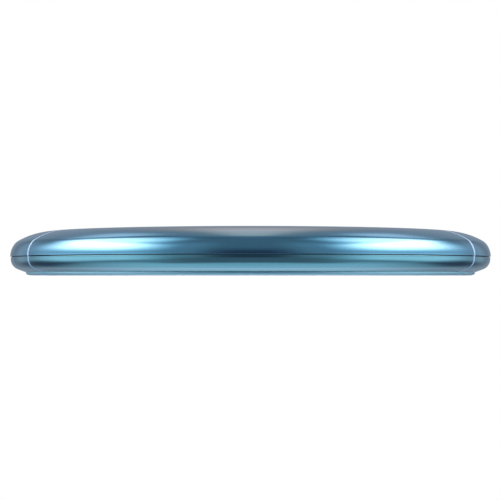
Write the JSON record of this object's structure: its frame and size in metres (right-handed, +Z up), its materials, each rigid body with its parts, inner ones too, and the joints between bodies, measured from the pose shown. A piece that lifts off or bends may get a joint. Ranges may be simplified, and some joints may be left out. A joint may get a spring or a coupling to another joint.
{
  "type": "rhythmic hoop",
  "caption": "Take-apart exercise hoop: hollow glossy metallic blue ring in equal curved segments, with inset foot, pale joint rings, spigot joints and snap buttons.",
  "frame": {"origin": "on the floor under the hoop's centre, at the level of the foot's underside", "axes": "+Z up along the hoop's axis, -Y towards the middle of the front segment, +X to the right"},
  "size_m": [0.7999, 0.8, 0.0725],
  "materials": {
    "shell_blue": "moulded ABS, metallic blue paint under clear coat",
    "foot_blue": "moulded ABS, the same metallic blue, satin",
    "ring_pale": "pale blue anodised",
    "cap_nylon": "glass-filled nylon, as moulded",
    "button_steel": "turned, polished dome",
    "spring_steel": "blued spring strip",
    "screw_steel": "zinc plated"
  },
  "bodies": {
    "front_segment": {"upper_shell_front": "shell_blue", "lower_shell_front": "shell_blue", "foot_strip_front": "foot_blue", "shell_screws_front": "screw_steel", "cap_screws_front": "screw_steel", "spigot_cap_right": "cap_nylon", "snap_spring_right": "spring_steel", "socket_cap_left": "cap_nylon", "joint_ring_left": "ring_pale"},
    "right_segment": {"upper_shell_right": "shell_blue", "lower_shell_right": "shell_blue", "foot_strip_right": "foot_blue", "shell_screws_right": "screw_steel", "cap_screws_right": "screw_steel", "socket_cap_right": "cap_nylon", "joint_ring_right": "ring_pale", "spigot_cap_back": "cap_nylon", "snap_spring_back": "spring_steel"},
    "left_segment": {"upper_shell_left": "shell_blue", "lower_shell_left": "shell_blue", "foot_strip_left": "foot_blue", "shell_screws_left": "screw_steel", "cap_screws_left": "screw_steel", "socket_cap_back": "cap_nylon", "joint_ring_back": "ring_pale", "spigot_cap_left": "cap_nylon", "snap_spring_left": "spring_steel"},
    "right_button": {"snap_button_right": "button_steel"},
    "back_button": {"snap_button_back": "button_steel"},
    "left_button": {"snap_button_left": "button_steel"}
  },
  "joints": [
    {"name": "right_pull", "type": "slide", "parent": "front_segment", "child": "right_segment", "axis": [0.5, 0.866, 0], "range_m": [0, 0.06], "deforming": ["snap_button_right", "snap_button_back"]},
    {"name": "left_pull", "type": "slide", "parent": "front_segment", "child": "left_segment", "axis": [-0.5, 0.866, 0], "range_m": [0, 0.06], "deforming": ["snap_button_left"]},
    {"name": "right_button_press", "type": "slide", "parent": "front_segment", "child": "right_button", "axis": [0.866, -0.5, 0], "range_m": [0, 0.007], "stiffness_N_per_m": 800, "springref_m": -0.003, "deforming": ["snap_spring_right"]},
    {"name": "back_button_press", "type": "slide", "parent": "right_segment", "child": "back_button", "axis": [0, 1, 0], "range_m": [0, 0.007], "stiffness_N_per_m": 800, "springref_m": -0.003, "deforming": ["snap_spring_back"]},
    {"name": "left_button_press", "type": "slide", "parent": "left_segment", "child": "left_button", "axis": [-0.866, -0.5, 0], "range_m": [0, 0.007], "stiffness_N_per_m": 800, "springref_m": -0.003, "deforming": ["snap_spring_left"]}
  ],
  "couplings": [
    {"joint": "left_pull", "follows": "right_pull", "ratio": 1}
  ]
}
